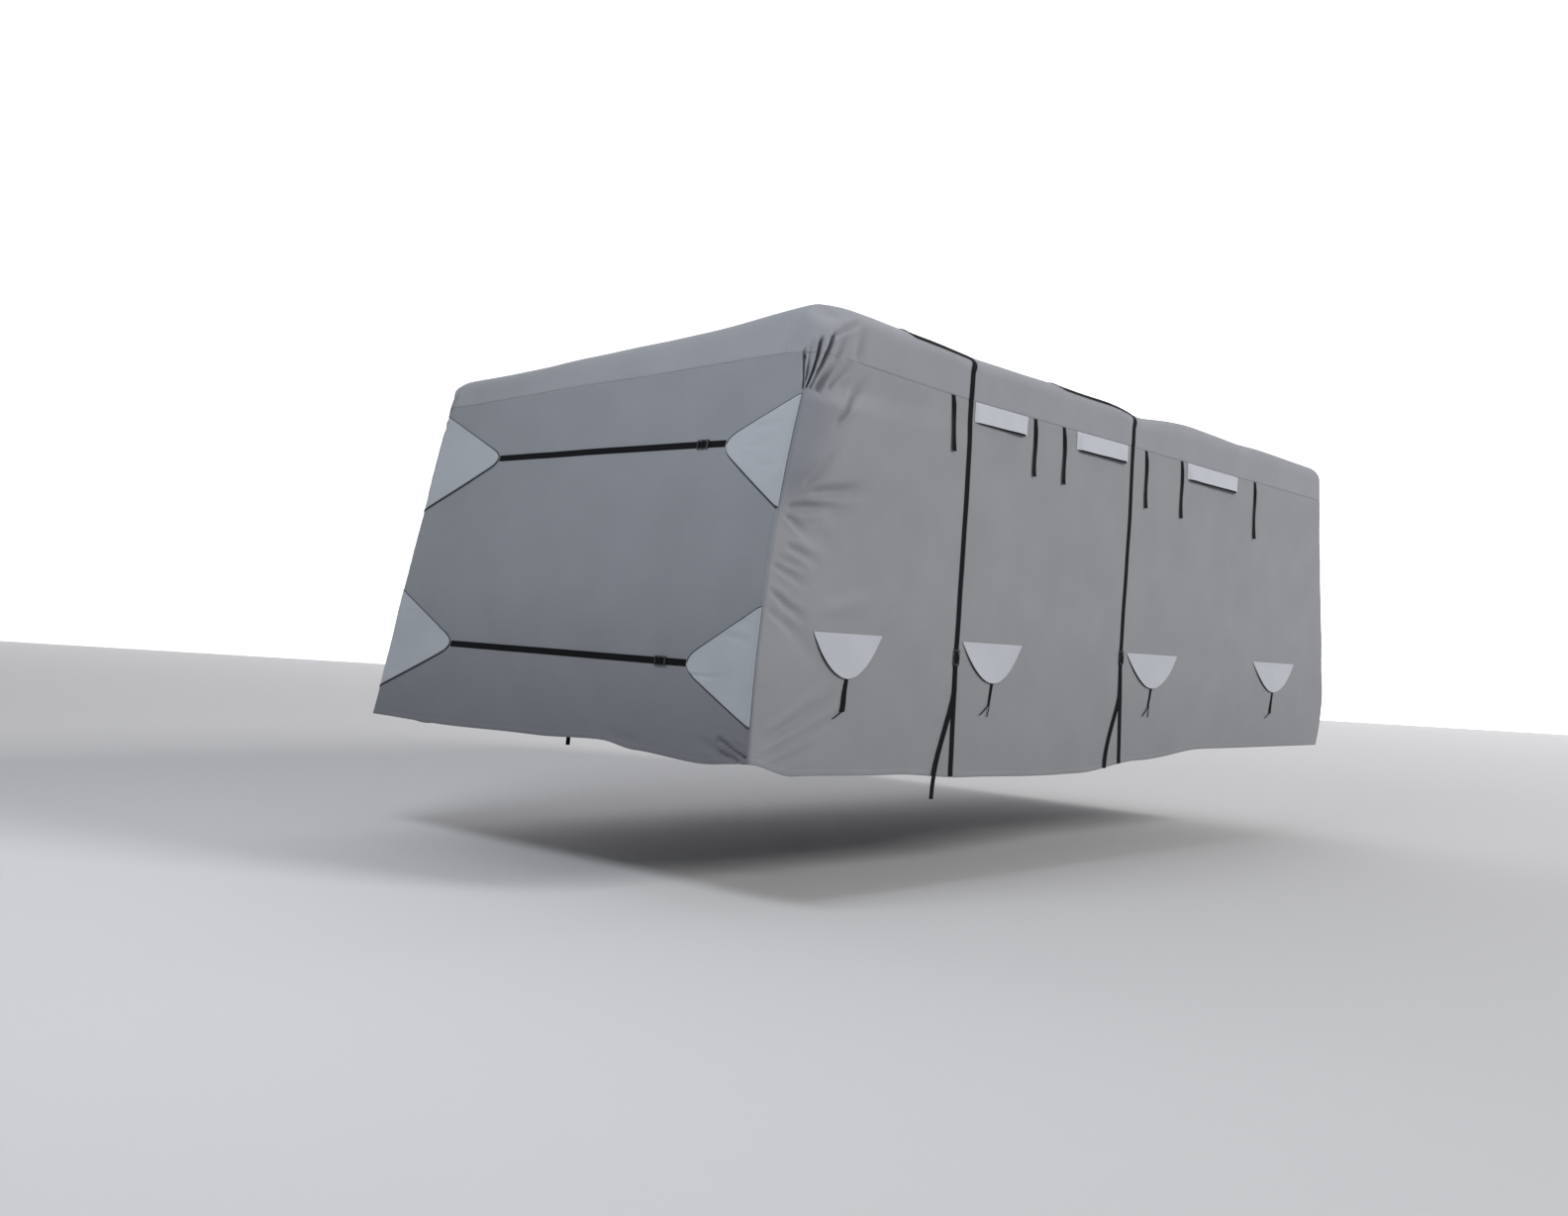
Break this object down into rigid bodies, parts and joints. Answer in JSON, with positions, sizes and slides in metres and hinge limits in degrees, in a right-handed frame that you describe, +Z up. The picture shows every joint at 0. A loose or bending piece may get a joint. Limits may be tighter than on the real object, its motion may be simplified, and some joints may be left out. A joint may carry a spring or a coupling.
{
  "type": "fitted caravan cover",
  "caption": "Fitted cloth cover in the shape it takes over a caravan, open below, with corner patches, tension straps, roof straps, vent hoods and hanging ties.",
  "frame": {"origin": "the caravan_roof mount: the underside of the roof cloth at its middle, where what is covered carries it", "axes": "+Z up; the leaning nose faces -Y and the tail +Y; +X is the side that the picture shows, with the visible ties, which node names call right"},
  "size_m": [2.6446, 6.4078, 2.2207],
  "materials": {
    "roof_cloth": "matte non-woven",
    "side_cloth": "matte non-woven",
    "nose_cloth": "matte non-woven",
    "patch_cloth": "matte coated weave",
    "light_cloth": "matte coated weave",
    "webbing": "ribbed black webbing",
    "buckle_plastic": "satin black"
  },
  "bodies": {
    "root": {"buckle_front_left": "buckle_plastic", "buckle_front_right": "buckle_plastic", "buckle_rear_left": "buckle_plastic", "buckle_rear_right": "buckle_plastic", "leg_front_left": "webbing", "leg_front_right": "webbing", "leg_rear_left": "webbing", "leg_rear_right": "webbing", "nose_buckle_lower": "buckle_plastic", "nose_buckle_upper": "buckle_plastic", "nose_panel": "nose_cloth", "nose_strap_lower_long": "webbing", "nose_strap_lower_short": "webbing", "nose_strap_upper_long": "webbing", "nose_strap_upper_short": "webbing", "patch_lower_left": "patch_cloth", "patch_lower_right": "patch_cloth", "patch_upper_left": "patch_cloth", "patch_upper_right": "patch_cloth", "pull_1_left": "light_cloth", "pull_1_right": "light_cloth", "pull_2_left": "light_cloth", "pull_2_right": "light_cloth", "pull_3_left": "light_cloth", "pull_3_right": "light_cloth", "pull_4_left": "light_cloth", "pull_4_right": "light_cloth", "pull_string_1a": "webbing", "pull_string_2a": "webbing", "pull_string_2b": "webbing", "pull_string_3a": "webbing", "pull_string_3b": "webbing", "pull_string_4a": "webbing", "pull_tie_1": "webbing", "pull_tie_2": "webbing", "pull_tie_3": "webbing", "pull_tie_4": "webbing", "roof_panel": "roof_cloth", "roof_strap_front": "webbing", "roof_strap_rear": "webbing", "side_panel_left": "side_cloth", "side_panel_right": "side_cloth", "tail_front_left": "webbing", "tail_front_right": "webbing", "tail_panel": "side_cloth", "tail_rear_left": "webbing", "tail_rear_right": "webbing", "tie_1": "webbing", "tie_2": "webbing", "tie_3": "webbing", "tie_4": "webbing", "tie_5": "webbing", "tie_6": "webbing", "vent_1_left": "light_cloth", "vent_1_right": "light_cloth", "vent_2_left": "light_cloth", "vent_2_right": "light_cloth", "vent_3_left": "light_cloth", "vent_3_right": "light_cloth"}
  },
  "joints": []
}
